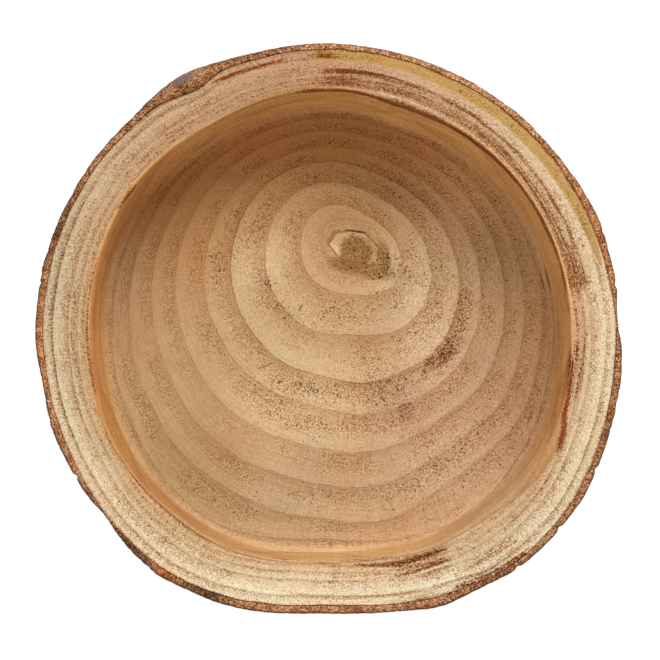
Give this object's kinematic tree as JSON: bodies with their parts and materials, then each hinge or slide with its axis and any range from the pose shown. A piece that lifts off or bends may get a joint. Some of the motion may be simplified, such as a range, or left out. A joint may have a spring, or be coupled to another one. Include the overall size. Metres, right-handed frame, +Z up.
{
  "type": "hollowed wood slice",
  "caption": "Round slice of a log with its bark on, hollowed from above into a shallow tray with a flat floor and a broad sawn rim.",
  "frame": {"origin": "middle of the outline's bounding box, on the sawn face that the slice stands on", "axes": "+Z up out of the hollow, along the trunk; +X along the slice's widest extent; +Y completes the right-handed set, towards the side where the rings are tightest"},
  "size_m": [0.3006, 0.2926, 0.055],
  "materials": {
    "wood": "sawn and sanded end grain, satin in the hollow, rough bark round the outside"
  },
  "bodies": {
    "root": {"wood_slice": "wood"}
  },
  "joints": []
}
